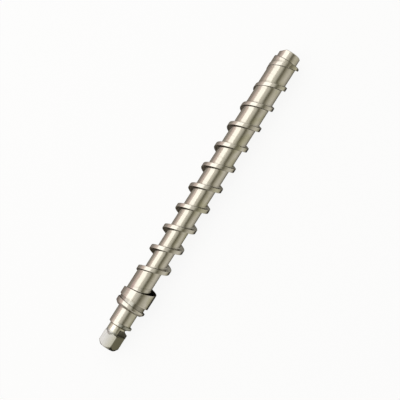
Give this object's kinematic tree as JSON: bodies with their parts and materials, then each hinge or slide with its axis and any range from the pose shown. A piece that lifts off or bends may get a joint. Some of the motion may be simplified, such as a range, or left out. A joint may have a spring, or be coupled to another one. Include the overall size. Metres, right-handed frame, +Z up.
{
  "type": "oil press screw",
  "caption": "Steel worm for a small seed oil press, with an offset square drive end, bearing journal, thrust flange, collar and a right-hand flight round a thickening core.",
  "frame": {"origin": "on the turning axis, at the drive end face", "axes": "+X along the turning axis from the drive end to the discharge end; +Z up from the surface that the screw lies on; +Y completes the right-hand frame and is the side away from the drive square's offset"},
  "size_m": [0.3123, 0.029, 0.029],
  "materials": {
    "ground_steel": "fine turned and ground satin, warm grey, with dark edges and stained corners at the drive end"
  },
  "bodies": {
    "root": {"press_screw": "ground_steel"}
  },
  "joints": []
}
